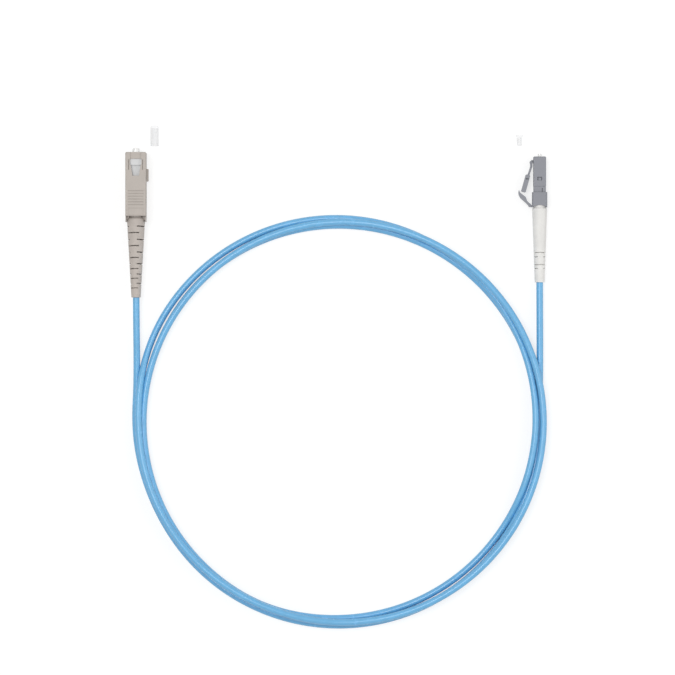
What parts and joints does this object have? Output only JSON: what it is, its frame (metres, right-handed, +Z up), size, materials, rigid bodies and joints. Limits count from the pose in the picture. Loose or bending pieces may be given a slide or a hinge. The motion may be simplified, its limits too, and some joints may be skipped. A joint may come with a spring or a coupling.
{
  "type": "sc fibre connector",
  "caption": "Push-pull SC optical fibre plug with ceramic ferrule, sliding grip and slotted boot, on a coiled simplex cable that ends in a small latched LC plug, with loose dust caps.",
  "frame": {"origin": "middle of the SC grip's lower window face, on the surface the patch cord lies on", "axes": "+Y along the SC ferrule towards its tip, +X towards the grip's key and the LC connector, +Z up from the surface"},
  "size_m": [0.1505, 0.1799, 0.009],
  "materials": {
    "beige_plastic": "satin moulded",
    "white_plastic": "satin moulded",
    "grey_plastic": "satin moulded",
    "zirconia": "polished ceramic",
    "plated_brass": "nickel plated, turned",
    "spring_steel": "drawn wire",
    "guide_plastic": "extruded",
    "crimp_metal": "annealed, crimped",
    "beige_rubber": "matte moulded",
    "white_rubber": "matte moulded",
    "cap_plastic": "translucent moulded",
    "cable_jacket": "satin extruded",
    "fibre_buffer": "extruded"
  },
  "bodies": {
    "plug": {"sc_plug_frame": "white_plastic", "sc_spring": "spring_steel", "sc_stop_ring": "plated_brass", "sc_guide_tube": "guide_plastic", "sc_crimp_sleeve": "crimp_metal", "sc_boot": "beige_rubber", "sc_dust_cap": "cap_plastic", "cable_sc_run": "cable_jacket", "cable_coil": "cable_jacket", "cable_lc_run": "cable_jacket", "lc_front_housing": "grey_plastic", "lc_rear_body": "grey_plastic", "lc_spring": "spring_steel", "lc_back_post": "plated_brass", "lc_crimp_sleeve": "crimp_metal", "lc_boot": "white_rubber", "lc_dust_cap": "cap_plastic"},
    "grip": {"sc_grip": "beige_plastic"},
    "sc_ferrule_set": {"sc_ferrule": "zirconia", "sc_ferrule_flange": "plated_brass", "sc_buffered_fibre": "fibre_buffer"},
    "latch": {"lc_latch": "grey_plastic"},
    "trigger": {"lc_trigger": "grey_plastic"},
    "lc_ferrule_set": {"lc_ferrule": "zirconia", "lc_ferrule_flange": "plated_brass", "lc_buffered_fibre": "fibre_buffer"}
  },
  "joints": [
    {"name": "sc_grip_slide", "type": "slide", "parent": "plug", "child": "grip", "axis": [0, 1, 0], "range_m": [-0.0015, 0]},
    {"name": "sc_ferrule_float", "type": "slide", "parent": "plug", "child": "sc_ferrule_set", "axis": [0, 1, 0], "range_m": [-0.0016, 0], "stiffness_N_per_m": 1000, "deforming": ["sc_spring"]},
    {"name": "lc_trigger_press", "type": "hinge", "parent": "plug", "child": "trigger", "pos_m": [0.14025, -0.00652, 0.00272], "axis": [0, 0, 1], "range_deg": [-10.5, 0], "stiffness_Nm_per_rad": 0.001},
    {"name": "lc_latch_press", "type": "hinge", "parent": "plug", "child": "latch", "pos_m": [0.14072, 0.00883, 0.00272], "axis": [0, 0, 1], "range_deg": [0, 6.2], "stiffness_Nm_per_rad": 0.001},
    {"name": "lc_ferrule_float", "type": "slide", "parent": "plug", "child": "lc_ferrule_set", "axis": [0, 1, 0], "range_m": [-0.0012, 0], "stiffness_N_per_m": 1000, "deforming": ["lc_spring"]}
  ],
  "couplings": [
    {"joint": "lc_latch_press", "follows": "lc_trigger_press", "ratio": -0.57}
  ]
}
